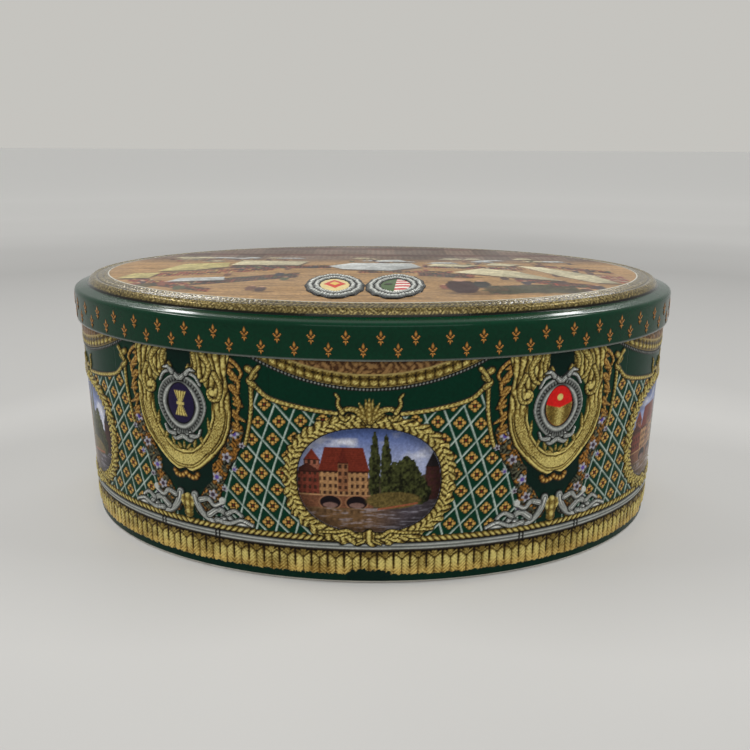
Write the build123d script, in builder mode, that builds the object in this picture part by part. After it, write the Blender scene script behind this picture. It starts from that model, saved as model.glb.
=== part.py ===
from build123d import *
import os

os.makedirs("parts", exist_ok=True)

# Oval printed cookie tin: a lock-seamed wall, a hooked-in base and a pressed slip lid.
# The lid's picture panel is the highest part. Every upright outline is the lid's
# outer oval, or that oval moved inward by an inset.

# Driving sizes of the whole tin
LID_LENGTH = 250.0
LID_WIDTH = 174.0
SHEET = 0.3

# Wall
WALL_INSET = 1.8
WALL_TOP = 95.3
CURL_DEPTH = 1.9
CURL_DROP = 1.6
CURL_RADIUS = 0.7
FOOT_WIDTH = 3.6
FOOT_RADIUS = 1.0
FOOT_FLATTENING = 0.05
HOOK_TOP = 2.7
SEAM_WIDTH = 4.5
SEAM_THICKNESS = 0.6
SEAM_BOTTOM = 3.6
SEAM_TOP = 92.8

# Base
RIM_GAP = 0.15
RIM_BOTTOM = 0.6
RIM_RADIUS = 0.6
STEP_OUTER_INSET = 12.0
STEP_INNER_INSET = 13.6
STEP_RISE = 1.0
STEP_RADIUS = 0.8
PANEL_LAP = 1.5

# Lid
HEM_BOTTOM = 83.8
HEM_DEPTH = 1.25
HEM_RISE = 1.1
HEM_RADIUS = 0.45
SHOULDER_Z = 96.4
SHOULDER_RADIUS = 1.5
LEDGE_INNER_INSET = 5.4
LEDGE_INNER_Z = 97.5
MOULDING_RISE_INSET = 6.5
MOULDING_RISE_Z = 99.5
MOULDING_TOP_INSET = 7.7
MOULDING_TOP_Z = 100.3
MOULDING_INNER_INSET = 8.9
MOULDING_INNER_Z = 100.0
BAND_INNER_INSET = 13.9
MOULDING_RADIUS = 0.5
PICTURE_Z = 100.8
PICTURE_LAP = 2.5
PICTURE_RADIUS = 0.8

LID_A = LID_LENGTH / 2
LID_B = LID_WIDTH / 2

# The lid's outer oval, in two halves, which every section is carried round
with BuildLine() as oval:
    EllipticalCenterArc((0, 0), LID_A, LID_B, start_angle=0, arc_size=180)
    EllipticalCenterArc((0, 0), LID_A, LID_B, start_angle=180, arc_size=180)
OVAL = oval.wire()


def sheet_section(points, radii, side):
    # Cut through a bent sheet; points are (inset, z) along one of its faces
    with BuildSketch(Plane.XZ) as section:
        with BuildLine():
            FilletPolyline(*[(LID_A - inset, z) for inset, z in points], radius=radii)
            offset(amount=SHEET, side=side)
        make_face()
    return section.sketch


def oval_outline(inset, z):
    # A filled oval whose edge lies at an inset
    with BuildSketch(Plane.XY.offset(z)) as outline:
        Ellipse(LID_A, LID_B)
        offset(amount=-inset)
    return outline.sketch


# Wall: edge curled in at the top, foot turned in at the bottom, hook for the base
FOOT_INSET = WALL_INSET + FOOT_WIDTH
CURL_INSET = WALL_INSET + CURL_DEPTH
WALL_POINTS = [
    (CURL_INSET, WALL_TOP - CURL_DROP),
    (CURL_INSET, WALL_TOP),
    (WALL_INSET, WALL_TOP),
    (WALL_INSET, -FOOT_FLATTENING),
    (FOOT_INSET, -FOOT_FLATTENING),
    (FOOT_INSET, HOOK_TOP),
]
WALL_RADII = [CURL_RADIUS, CURL_RADIUS, FOOT_RADIUS, FOOT_RADIUS]
SEAM_INNER_Y = LID_B - WALL_INSET - SHEET - SEAM_THICKNESS
SEAM_OUTER_Y = LID_B - WALL_INSET - SHEET / 2

with BuildPart() as body_wall:
    sweep(sheet_section(WALL_POINTS, WALL_RADII, Side.RIGHT), path=OVAL)
    # The foot's underside is planished flat
    split(bisect_by=Plane.XY, keep=Keep.TOP)
    # Folded lock seam, flat against the inside at the back
    with BuildSketch(Plane.XY.offset(SEAM_BOTTOM)):
        with Locations((0, (SEAM_INNER_Y + SEAM_OUTER_Y) / 2)):
            Rectangle(SEAM_WIDTH, SEAM_OUTER_Y - SEAM_INNER_Y)
    extrude(amount=SEAM_TOP - SEAM_BOTTOM)

# Base: rim hooked over the wall's foot, a raised step, then a flat floor
RIM_INSET = WALL_INSET + SHEET + RIM_GAP
LAND_Z = HOOK_TOP + SHEET
FLOOR_Z = LAND_Z + STEP_RISE
BASE_POINTS = [
    (RIM_INSET, RIM_BOTTOM),
    (RIM_INSET, LAND_Z),
    (STEP_OUTER_INSET, LAND_Z),
    (STEP_INNER_INSET, FLOOR_Z),
    (STEP_INNER_INSET + 2 * PANEL_LAP, FLOOR_Z),
]
BASE_RADII = [RIM_RADIUS, STEP_RADIUS, STEP_RADIUS]

with BuildPart() as base_panel:
    sweep(sheet_section(BASE_POINTS, BASE_RADII, Side.LEFT), path=OVAL)
    extrude(oval_outline(STEP_INNER_INSET + PANEL_LAP, FLOOR_Z - SHEET), amount=SHEET)

# Lid: hem curled in, skirt, shoulder, ledge, rounded moulding, sloping band, picture panel
LID_POINTS = [
    (HEM_DEPTH, HEM_BOTTOM + HEM_RISE),
    (HEM_DEPTH, HEM_BOTTOM),
    (0, HEM_BOTTOM),
    (0, SHOULDER_Z),
    (LEDGE_INNER_INSET, LEDGE_INNER_Z),
    (MOULDING_RISE_INSET, MOULDING_RISE_Z),
    (MOULDING_TOP_INSET, MOULDING_TOP_Z),
    (MOULDING_INNER_INSET, MOULDING_INNER_Z),
    (BAND_INNER_INSET, PICTURE_Z),
    (BAND_INNER_INSET + 2 * PICTURE_LAP, PICTURE_Z),
]
LID_RADII = [
    HEM_RADIUS,
    HEM_RADIUS,
    SHOULDER_RADIUS,
    MOULDING_RADIUS,
    MOULDING_RADIUS,
    MOULDING_RADIUS,
    MOULDING_RADIUS,
    PICTURE_RADIUS,
]

with BuildPart() as lid:
    sweep(sheet_section(LID_POINTS, LID_RADII, Side.LEFT), path=OVAL)
    extrude(oval_outline(BAND_INNER_INSET + PICTURE_LAP, PICTURE_Z - SHEET), amount=SHEET)

body_wall.part.label = "body_wall"
export_step(body_wall.part, "parts/body_wall.step")
base_panel.part.label = "base_panel"
export_step(base_panel.part, "parts/base_panel.step")
lid.part.label = "lid"
export_step(lid.part, "parts/lid.step")
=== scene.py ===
import math

import bpy
import numpy as np
from mathutils import Matrix, Vector


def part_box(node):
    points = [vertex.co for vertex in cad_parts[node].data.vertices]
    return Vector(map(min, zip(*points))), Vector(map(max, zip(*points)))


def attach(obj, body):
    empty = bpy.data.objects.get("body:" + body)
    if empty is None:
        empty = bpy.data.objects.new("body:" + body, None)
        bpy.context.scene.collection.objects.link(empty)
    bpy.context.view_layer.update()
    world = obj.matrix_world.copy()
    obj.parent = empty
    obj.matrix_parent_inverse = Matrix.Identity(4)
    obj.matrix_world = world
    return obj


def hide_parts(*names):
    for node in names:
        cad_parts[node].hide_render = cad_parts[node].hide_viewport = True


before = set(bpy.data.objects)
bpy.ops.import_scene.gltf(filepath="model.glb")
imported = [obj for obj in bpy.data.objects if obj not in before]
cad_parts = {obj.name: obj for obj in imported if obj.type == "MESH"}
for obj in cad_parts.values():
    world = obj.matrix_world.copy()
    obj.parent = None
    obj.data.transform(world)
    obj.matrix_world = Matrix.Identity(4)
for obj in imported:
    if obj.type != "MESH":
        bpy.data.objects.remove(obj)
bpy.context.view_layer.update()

MM = 0.001

# ---------------------------------------------------------------- the oval
# Every outline is the lid's outer oval moved inward by an inset, as in the CAD.
# u is arc length in mm from the front centre, towards +X; v is height in mm.
LO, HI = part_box("lid")
LID_A = (HI[0] - LO[0]) * 500
LID_B = (HI[1] - LO[1]) * 500
WALL_LO, WALL_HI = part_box("body_wall")
WALL_INSET = LID_A - (WALL_HI[0] - WALL_LO[0]) * 500
HEM_Z = LO[2] * 1000
TOP_Z = HI[2] * 1000


def oval_xy(t, inset):
    # nx, ny is the outward normal of the lid's oval (A sin t, -B cos t)
    nx, ny = LID_B * np.sin(t), -LID_A * np.cos(t)
    size = np.hypot(nx, ny)
    nx, ny = nx / size, ny / size
    return LID_A * np.sin(t) - inset * nx, -LID_B * np.cos(t) - inset * ny, nx, ny


T_TABLE = np.linspace(-math.pi, math.pi, 8001)


def arc_table(inset):
    x, y, _, _ = oval_xy(T_TABLE, inset)
    s = np.concatenate([[0], np.cumsum(np.hypot(np.diff(x), np.diff(y)))])
    return s - s[-1] / 2


WALL_ARC = arc_table(WALL_INSET)
LID_ARC = arc_table(0)
WALL_ROUND = WALL_ARC[-1] * 2
LID_ROUND = LID_ARC[-1] * 2


def wall_t(u):
    return np.interp((u + WALL_ROUND / 2) % WALL_ROUND - WALL_ROUND / 2, WALL_ARC, T_TABLE)


def lid_t(u):
    return np.interp((u + LID_ROUND / 2) % LID_ROUND - LID_ROUND / 2, LID_ARC, T_TABLE)


# ---------------------------------------------------------------- mask helpers
def smooth(a, b, x):
    k = unit((x - a) / (b - a))
    return k * k * (3 - 2 * k)


def inside(d, soft=0.3):
    # 1 where a signed distance is negative
    return 1 - smooth(-soft / 2, soft / 2, d)


def strip(x, half, soft=0.3):
    # 1 within half of zero
    return inside(np.abs(x) - half, soft)


def unit(x):
    return np.clip(x, 0, 1)


def blend(a, b, k):
    return a + (b - a) * k


def tones(r, low, mid, high):
    return np.where(r < 0.5, blend(low, mid, r * 2), blend(mid, high, r * 2 - 1))


def dist_line(x, y, points):
    # distance to a polyline, and the share of its length at the nearest point
    pts = np.asarray(points, float)
    seg = np.hypot(*np.diff(pts, axis=0).T)
    total = seg.sum()
    best = np.full(np.shape(x), 1e9)
    share = np.zeros(np.shape(x))
    run = 0.0
    for (x0, y0), (x1, y1), ln in zip(pts[:-1], pts[1:], seg):
        dx, dy = x1 - x0, y1 - y0
        k = unit(((x - x0) * dx + (y - y0) * dy) / (ln * ln + 1e-12))
        d = np.hypot(x - x0 - k * dx, y - y0 - k * dy)
        near = d < best
        best = np.where(near, d, best)
        share = np.where(near, (run + k * ln) / total, share)
        run += ln
    return best, share


def smooth_line(points, n=24):
    # Catmull-Rom through the points
    p = np.asarray(points, float)
    p = np.vstack([2 * p[0] - p[1], p, 2 * p[-1] - p[-2]])
    out = []
    per = max(2, n // (len(p) - 3))
    for i in range(1, len(p) - 2):
        for k in np.arange(per) / per:
            a, b, c, d = p[i - 1], p[i], p[i + 1], p[i + 2]
            square, cube = 2 * a - 5 * b + 4 * c - d, 3 * b - a - 3 * c + d
            out.append(0.5 * (2 * b + (c - a) * k + square * k**2 + cube * k**3))
    out.append(p[-2])
    return np.array(out)


def hash01(i, j, seed):
    h = np.sin(i * 127.1 + j * 311.7 + seed * 74.7) * 43758.5453
    return h - np.floor(h)


def noise(x, y, seed=0):
    i, j = np.floor(x), np.floor(y)
    fx, fy = x - i, y - j
    fx, fy = fx * fx * (3 - 2 * fx), fy * fy * (3 - 2 * fy)
    a = hash01(i, j, seed) * (1 - fx) + hash01(i + 1, j, seed) * fx
    b = hash01(i, j + 1, seed) * (1 - fx) + hash01(i + 1, j + 1, seed) * fx
    return a * (1 - fy) + b * fy


def fbm(x, y, seed=0, octaves=4):
    total, amp = 0, 0.5
    for k in range(octaves):
        total = total + amp * noise(x * 2**k, y * 2**k, seed + k)
        amp *= 0.5
    return total / (1 - 0.5**octaves)


def srgb(*c):
    c = np.asarray(c, float) / 255
    return np.where(c <= 0.04045, c / 12.92, ((c + 0.055) / 1.055) ** 2.4)


GREEN = srgb(0, 50, 32)
GREEN_DEEP = srgb(2, 30, 23)
DARK = srgb(10, 8, 6)
GOLD = srgb(130, 108, 50)
GOLD_LIGHT = srgb(220, 204, 124)
GOLD_BROWN = srgb(30, 20, 8)
SILVER = srgb(126, 130, 126)
SILVER_DARK = srgb(26, 26, 26)
BROWN = srgb(62, 40, 26)


class Canvas:
    """Colour, metal share and relief at every point of a grid, painted layer on layer."""

    def __init__(self, x, y, color, metal=0.0):
        self.x, self.y = x, y
        self.c = np.empty(x.shape + (3,))
        self.c[:] = color
        self.m = np.full(x.shape, float(metal))
        self.h = np.zeros(x.shape)

    def lay(self, mask, color, metal=0.0, height=None, add=False):
        k = unit(mask)
        self.tint(k, np.asarray(color))
        self.m += (metal - self.m) * k
        if height is not None:
            if add:
                self.h += height * k
            else:
                self.h += (height - self.h) * k

    def tint(self, mask, color):
        self.c += (color - self.c) * mask[..., None]

    def cover(self, k, color, metal, height):
        self.tint(k, color)
        self.m += (metal - self.m) * k
        self.h += (height - self.h) * k

    def vertex_colors(self):
        # colour and metal share of each point, in the grid's order
        return np.concatenate([self.c, self.m[..., None]], -1).reshape(-1, 4)

    def metal_relief(self, mask, relief, low, mid, high, metal, base, amp, grain=0.5):
        # shades a sculpted metal area from its own relief, dark in the hollows
        fine = foliage(self.x, self.y, 1.15, 91) - 0.5
        r = unit(relief * 1.2 - 0.2 + grain * fine)[..., None]
        self.cover(unit(mask), tones(r, low, mid, high), metal, base + amp * unit(relief))

    def gold(self, mask, relief, base=0.2, amp=0.5, grain=0.5):
        self.metal_relief(mask, relief, GOLD_BROWN, GOLD, GOLD_LIGHT, 0.4, base, amp, grain)

    def amber(self, mask, relief, base=0.2, amp=0.5, grain=0.5):
        low, mid, high = srgb(30, 14, 6), srgb(134, 94, 40), srgb(216, 178, 100)
        self.metal_relief(mask, relief, low, mid, high, 0.35, base, amp, grain)

    def silver(self, mask, relief, base=0.2, amp=0.5, grain=0.2):
        self.metal_relief(mask, relief, SILVER_DARK, SILVER, srgb(226, 228, 222), 0.35, base, amp, grain)


def foliage(x, y, scale, seed):
    # curling ridges, like chased leaf work, 0 in the grooves and 1 on the ribs
    wx = x / scale + 1.3 * fbm(x / scale * 0.7, y / scale * 0.7, seed, 3)
    wy = y / scale + 1.3 * fbm(x / scale * 0.7 + 9, y / scale * 0.7 + 5, seed + 3, 3)
    a = np.abs(np.sin(wx * 3.1 + 1.7 * np.sin(wy * 2.3)))
    b = np.abs(np.sin(wy * 2.9 - 1.6 * np.sin(wx * 2.1)))
    return unit(0.25 + 0.6 * a * b + 0.35 * noise(x / scale * 2.2, y / scale * 2.2, seed + 7))


def scroll(cv, x, y, points, width, metal="gold", base=0.25, amp=0.5, taper=0.5, soft=0.3):
    # a rounded, veined stem along a smooth line, narrowing to its end
    d, share = dist_line(x, y, smooth_line(points))
    w = width * (1 - taper * share)
    dome = unit(1 - (d / w) ** 2) ** 0.5
    vein = 0.5 + 0.5 * np.sin(share * 45 * len(points) / 3 + d * 5)
    if metal == "silver":
        vein = 0.5 + 0.5 * np.cos(d / w * 9 + share * 5)
    rel = unit(dome * (0.6 + 0.4 * vein) - 0.3 * np.exp(-((d / w - 0.45) ** 2) / 0.01))
    edge = inside(d - w - 0.35, soft)
    cv.lay(edge * inside(-(d - w), soft), DARK, 0.0, base * 0.5)
    getattr(cv, metal)(inside(d - w, soft), rel, base, amp)


def leaf(cv, x, y, cx, cy, angle, length, width, metal="gold", base=0.2, amp=0.5):
    ca, sa = math.cos(angle), math.sin(angle)
    lx = (x - cx) * ca + (y - cy) * sa
    ly = -(x - cx) * sa + (y - cy) * ca
    k = unit(lx / length)
    half = width * 0.5 * np.sin(np.pi * np.clip(k, 0.02, 0.98) ** 0.75) * (0.86 + 0.14 * np.cos(k * 34))
    on = strip(ly, half) * ((lx > 0) & (lx < length))
    rib = 1 - unit(np.abs(ly) / (half + 0.05))
    rel = 0.25 + 0.65 * rib * (0.75 + 0.25 * np.cos(k * 34 - np.abs(ly) * 4))
    getattr(cv, metal)(on, rel, base, amp)


def rosette(cv, x, y, cx, cy, r, on=1.0):
    # four round lobes with a small bud between each pair and a dark eye
    dx, dy = np.abs(x - cx), np.abs(y - cy)
    hi, lo = np.maximum(dx, dy), np.minimum(dx, dy)
    lobe = np.hypot(hi - 0.62 * r, lo) / (0.33 * r)
    bud = np.hypot(hi - 0.46 * r, lo - 0.46 * r) / (0.15 * r)
    near = np.minimum(lobe, bud + 0.1)
    cv.lay(inside((near - 1.25) * r * 0.44) * on, DARK, 0.0)
    k = unit(inside((near - 1) * r * 0.33, 0.25) * on)
    rel = unit(1.15 - near) * (0.7 + 0.3 * np.cos(hi / r * 14))
    tip = unit(rel * 1.6)[..., None]
    warm = blend(srgb(100, 60, 24), srgb(224, 182, 98), tip)
    cv.cover(k, warm, 0.25, 0.15 + 0.35 * rel)
    cv.lay(inside(np.hypot(dx, dy) - 0.17 * r, 0.25) * on, srgb(110, 40, 24), 0.1)


# ---------------------------------------------------------------- small painted scenes
def sky(cv, k, x, y, seed, low, high):
    cloud = smooth(0.45, 0.75, fbm(x / 9, y / 5, seed, 4))
    t = smooth(low, high, y)[..., None]
    blue = blend(srgb(160, 168, 200), srgb(84, 104, 160), t)
    cv.tint(k, blend(blue, srgb(226, 226, 232), (cloud * 0.75)[..., None]))


def house(cv, k, x, y, cx, base, w, wall_h, roof_h, wall, roof, seed, gable=False):
    on = k * strip(x - cx, w / 2, 0.25) * inside(base - y, 0.25) * inside(y - base - wall_h, 0.25)
    grain = 0.6 + 0.6 * noise(x * 1.7, y * 1.7, seed)
    cv.lay(on, wall)
    cv.c *= 1 - (on * (1 - unit(grain)))[..., None]
    wx = ((x - cx) / 1.9) % 1
    wy = ((y - base) / 2.7) % 1
    win = strip(wx - 0.5, 0.26, 0.15) * strip(wy - 0.5, 0.27, 0.12)
    cv.lay(on * win * (y > base + 0.8), srgb(58, 36, 26))
    ty = (y - base - wall_h) / roof_h
    lean = 0.5 if gable else 0.14
    half = w / 2 * (1.06 - lean * 2 * unit(ty))
    top = k * strip(x - cx, half, 0.25) * ((ty > 0) & (ty < 1))
    tile = 0.8 + 0.25 * np.sin(y * 9) * 0.5 + 0.25 * noise(x * 2.3, y * 3, seed + 2)
    cv.tint(top, roof * np.clip(tile, 0.5, 1.2)[..., None])
    cv.lay(top * strip(ty - 0.02, 0.03, 0.03), srgb(50, 24, 16))


def tree(cv, k, x, y, cx, base, w, h, seed, tint=(60, 84, 44)):
    wob = (fbm(x * 0.9, y * 0.9, seed, 3) - 0.5) * w * 0.7
    ty = unit((y - base) / h)
    half = w * 0.5 * np.sin(np.pi * np.clip(ty, 0.03, 0.99) ** 0.7) ** 0.6
    on = k * inside(np.abs(x - cx) - half - wob * 0.4) * ((y > base) & (y < base + h))
    lum = 2.6 * fbm(x * 1.3, y * 1.1, seed + 4, 4) - 0.45 - 0.8 * (x - cx) / w - 0.2 * (1 - ty)
    cv.tint(on, srgb(*tint) * np.clip(lum, 0.12, 1.8)[..., None])


def village(cv, k, x, y, seed):
    # a generic riverside: houses, an arched bridge, poplars and water
    rng = np.random.default_rng(seed)
    cv.lay(k, srgb(150, 160, 190), 0.0, 0.35)
    sky(cv, k, x, y, seed, 44, 60)
    cv.m *= 1 - k
    far = 41 + 3 * fbm(x / 7, y * 0, seed, 3)
    cv.lay(k * inside(y - far, 0.5), srgb(70, 62, 48))
    shift = 0.0 if seed == 0 else float(rng.uniform(-2.5, 2.5))
    for cx, base, w, wall_h, roof_h, wall, roof, s, gable in (
        (-19.8 + shift * 0.3, 35, 5.6, 13, 4.0, (150, 92, 72), (128, 52, 36), 1, True),
        (-21.5 + shift * 0.3, 31, 9.6, 12.5, 3.2, (118, 56, 42), (74, 36, 28), 6, True),
        (-8.7 + shift, 34.5, 17, 9.2, 9.4, (172, 130, 88), (112, 44, 30), 2, False),
        (-9.0 + shift, 36.5, 3.6, 10.4, 6.0, (142, 96, 66), (96, 36, 26), 3, True),
        (22.8, 26, 6.4, 19.5, 7, (66, 36, 34), (34, 28, 30), 4, True),
    ):
        house(cv, k, x, y, cx, base, w, wall_h, roof_h, srgb(*wall), srgb(*roof), seed + s, gable)
    # bridge wall with two arches
    bridge = k * inside(y - 35.2) * inside(29.6 - y) * inside(x - 1.5 - shift, 0.5)
    stone = srgb(118, 76, 54)
    cv.tint(bridge, stone * (0.6 + 0.6 * noise(x * 2, y * 4, seed))[..., None])
    cv.lay(bridge * strip(y - 35.0, 0.3, 0.2), srgb(170, 130, 92))
    for cx in (-13.5 + shift, -4.2 + shift):
        r = np.hypot((x - cx) / 3.7, (y - 32.2) / 2.6)
        cv.lay(k * inside((r - 1.12) * 3, 0.4), srgb(150, 106, 76))
        cv.lay(k * inside((r - 1) * 3, 0.4), srgb(22, 14, 18))
        cv.lay(k * inside((np.hypot((x - cx) / 2.6, (y - 31.2) / 1.0) - 1) * 2, 0.5), srgb(120, 92, 84))
    # water with broken reflections
    wet = k * inside(y - 30.2 - 3.2 * smooth(10, 24, x), 0.5)
    ripple = fbm(x / 4, y * 1.6, seed + 5, 4)
    mirror = blend(srgb(122, 92, 62), srgb(78, 70, 76), smooth(-4, 14, x)[..., None])
    bright = smooth(0.52, 0.75, ripple)[..., None]
    col = mirror * (0.35 + 0.95 * ripple)[..., None] + (srgb(160, 158, 170) - mirror) * bright * 0.45
    wavy = x + 0.9 * (ripple - 0.5)
    ghost = strip((wavy / 2.4) % 1 - 0.5, 0.2, 0.2) * strip(((30.2 - y) / 3.4) % 1 - 0.4, 0.2, 0.2)
    col = col * (1 - 0.4 * ghost * (x < -1))[..., None]
    cv.tint(wet, col)
    for cx, b, w, h, s in (
        (17.5, 31.5, 8.0, 11, 16),
        (13.0, 31, 11.0, 19, 13),
        (8.6, 33, 7.0, 15, 14),
        (1.9 + shift * 0.5, 33.5, 4.0, 25.5, 11),
        (5.9 + shift * 0.5, 33.5, 4.0, 24.5, 12),
    ):
        tree(cv, k, x, y, cx, b, w, h, seed + s, (62, 66, 34))
    bank = k * inside((np.hypot((x - 8.5) / 9.5, (y - 33.2) / 3.2) - 1) * 3, 0.6)
    moss = fbm(x * 1.6, y * 1.6, seed + 21, 3)
    cv.tint(bank, srgb(96, 82, 44) * (0.3 + 1.4 * moss)[..., None])
    cv.lay(k * strip(y - 30.6 - 0.16 * (x - 8), 0.35) * (x > 3) * (x < 17), srgb(146, 84, 58))
    # fine brush texture over everything
    brush = 0.84 + 0.34 * noise(x * 2.6, y * 2.2, seed + 30)
    cv.c *= 1 - (k * (1 - brush))[..., None]


def arms_panel(cv, k, dx, dy, style):
    # plain heraldic divisions that belong to nobody
    if style == 0:
        cv.lay(k, srgb(34, 28, 58), 0.1, 0.5)
        rr = np.hypot(dx, dy * 0.9)
        sheaf = strip(dx, 0.6 + 0.42 * np.abs(dy)) * strip(dy, 4.6)
        ribs = 0.35 + 0.6 * np.abs(np.cos(dx * 4.2 / (0.5 + 0.25 * np.abs(dy))))
        cv.gold(k * sheaf, ribs, 0.55, 0.25)
        cv.gold(k * strip(dy, 0.5) * strip(dx, 1.6), 0.9 + 0 * rr, 0.7, 0.2)
    elif style == 1:
        cv.lay(k, srgb(206, 30, 28), 0.1, 0.5)
        chief = inside(dy + 0.6 - 1.5 * np.abs(dx) / 5.2)
        cv.gold(k * chief, 0.55 + 0.2 * np.cos(dx * 0.9), 0.55, 0.2)
        cv.lay(k * inside(np.hypot(dx, dy - 3.3) - 1.2), GOLD_LIGHT, 0.5)
    elif style == 2:
        cv.lay(k, srgb(28, 60, 130), 0.1, 0.5)
        cv.silver(k * strip(dx - dy * 0.55, 1.3), 0.7 + 0 * dx, 0.6, 0.2)
    else:
        cv.lay(k, srgb(196, 160, 60), 0.3, 0.5)
        cv.lay(k * strip(dy, 1.6), srgb(150, 26, 24), 0.1)
        cv.lay(k * strip(dx, 1.1), srgb(150, 26, 24), 0.1)


# ---------------------------------------------------------------- the wall's print
HALF_ROUND = WALL_ROUND / 2
MEDALLIONS = [0.0, 136.5, -136.5, 267.0, -267.0]
SHIELDS = [-68.6, 68.6, -202.5, 202.5, HALF_ROUND]
LATTICE_A = (5.4, -5.8)
LATTICE_B = (-2.2, -6.6)
LATTICE_AT = (-31.0, 61.2)
STRIP_TOP = 4.4
LEAF_TOP = 13.2
LEAF_PITCH = 5.9
RAIL_MID = 15.1
ROPE_MID = 17.9
ROPE_TOP = 19.2


def wrapped(u, c):
    return (u - c + HALF_ROUND) % WALL_ROUND - HALF_ROUND


def nearest(u, centres):
    best = np.full(np.shape(u), 1e9)
    which = np.zeros(np.shape(u), int)
    for n, c in enumerate(centres):
        d = wrapped(u, c)
        near = np.abs(d) < np.abs(best)
        best = np.where(near, d, best)
        which = np.where(near, n, which)
    return best, which


def band_prints(cv, u, v, du, ds):
    # foot strip, leaf band, silver rail and laurel rope
    leaf_n = round(WALL_ROUND / LEAF_PITCH)
    pitch = WALL_ROUND / leaf_n
    f = (u / pitch) % 1 - 0.5
    on = inside(STRIP_TOP - 0.9 * noise(u * 2.1, v * 0, 14) - v, 0.35) * inside(v - LEAF_TOP)
    t = unit((v - STRIP_TOP) / (LEAF_TOP - STRIP_TOP))
    af = np.abs(f)
    crest = 12.9 - 9.0 * f * f - v
    leaf_on = inside(-crest)
    barb = 0.5 + 0.5 * np.cos((v * 1.0 - af * 6.0) * 4.4)
    core = smooth(0.0, 0.07, af - 0.04 * t) + smooth(0.35, 0.1, t)
    gap = 0.3 + 0.7 * smooth(0.5, 0.45, af)
    arch = 0.35 + 0.65 * smooth(0.2, 0.7, np.abs(crest - 0.9))
    body = 0.62 + 0.3 * np.sin(np.pi * unit(af * 2)) + 0.3 * (barb - 0.5)
    rel = body * unit(core) * gap * arch * (0.62 + 0.38 * smooth(1.0, 0.6, t)) * leaf_on
    rel = rel + (1 - leaf_on) * 0.55 * inside(0.34 - af, 0.1)
    tint = 0.9 + 0.5 * (noise(u / 5, v / 4, 12) - 0.5)
    cv.gold(on, unit(rel * tint), 0.15, 0.75)
    warm = on * smooth(0.55, 0.0, t) * 0.55
    cv.tint(warm, cv.c * np.array([1.0, 0.72, 0.5]))
    cv.lay(strip(v - LEAF_TOP - 0.1, 0.35), DARK, 0.0, 0.1)
    rail = strip(v - RAIL_MID, 1.6)
    across = unit(1 - ((v - RAIL_MID) / 1.7) ** 2)
    band = 0.5 + 0.5 * np.cos((v - 14.4) * 4.4)
    cv.silver(rail, unit(0.85 * across * (0.4 + 0.6 * band) + 0.1 * noise(u / 5, v * 2, 8)), 0.2, 0.8, 0.06)
    cv.lay(strip(v - 13.7, 0.2, 0.2), srgb(60, 50, 40), 0.1)
    for tie in (-11.5, 11.5):
        d = np.minimum(np.abs(ds - tie), np.abs(ds - tie - 1.5 * np.sign(tie)))
        cv.lay(rail * inside(d - 0.35, 0.25), DARK, 0.0)
    rope = strip(v - ROPE_MID, 1.15)
    tw = np.abs(np.sin((np.abs(du) * 1.0 + (v - ROPE_MID) * 0.9) * np.pi / 2.3))
    cv.gold(rope, unit(0.95 * tw * unit(1 - ((v - ROPE_MID) / 1.3) ** 2)), 0.2, 0.6)
    cv.lay(strip(v - 16.75, 0.18, 0.2), DARK, 0.0)
    # a torn-looking break in the leaf band's lower edge at each medallion's centre
    jag = 5.3 + 1.5 * noise(du * 1.3, v * 0, 3) - 0.14 * np.abs(du)
    cv.lay(inside(v - jag) * strip(du, 8, 0.8), GREEN_DEEP, 0.0, 0.0)


def lattice_print(cv, du, v, room):
    # silver trellis with a gold rosette in each diamond
    x = -np.abs(du) - LATTICE_AT[0]
    y = v - LATTICE_AT[1]
    bend = 0.9 * np.sin((v - 20) / 50 * np.pi)
    x = x + bend - 0.9 * math.sin((LATTICE_AT[1] - 20) / 50 * math.pi)
    (ax, ay), (bx, by) = LATTICE_A, LATTICE_B
    det = ax * by - ay * bx
    i = (x * by - y * bx) / det
    j = (ax * y - ay * x) / det
    fi, fj = i - np.round(i), j - np.round(j)
    la, lb = math.hypot(ax, ay), math.hypot(bx, by)
    sine = abs(det) / (la * lb)
    di = (0.5 - np.abs(fi)) * la * sine
    dj = (0.5 - np.abs(fj)) * lb * sine
    wire = np.minimum(di, dj)
    k = room
    cv.lay(k, GREEN, 0.0, 0.05)
    shade = noise(du / 2, v / 2, 17)
    rel = 0.8 + 0.4 * shade - 1.6 * wire
    mid, high = srgb(118, 142, 130), srgb(186, 200, 190)
    cv.metal_relief(k * inside(wire - 0.36), rel, SILVER_DARK, mid, high, 0.2, 0.25, 0.3)
    px, py = fi * ax + fj * bx, fi * ay + fj * by
    rosette(cv, px, py, 0, 0, 2.35, k * inside(0.5 - wire))


ROD = smooth_line([(-40.6, 75.5), (-36.5, 70.8), (-31, 68.4), (-20, 66.2), (-11, 65.2)], 30)
POST = smooth_line([(-40.6, 75.5), (-40.8, 66), (-42.2, 57.5), (-43.8, 51.5)], 20)
GARLAND = smooth_line([(-47.0, 56.5), (-50.5, 47), (-55.3, 38.5), (-57.6, 31), (-62.5, 24)], 40)


def lattice_room(du, v):
    # region between medallion and cartouche, left half mirrored to the right
    x = -np.abs(du)
    rod_y = np.interp(x, ROD[:, 0], ROD[:, 1])
    garl_x = np.interp(v, GARLAND[::-1, 1], GARLAND[::-1, 0])
    post_x = np.interp(v, POST[::-1, 1], POST[::-1, 0])
    left = np.where(v > 51.5, post_x, garl_x)
    left = np.where(v < 30, -62.5, left)
    return inside(v - rod_y) * inside(left - x) * inside(ROPE_TOP - v) * (x < -9)


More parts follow.
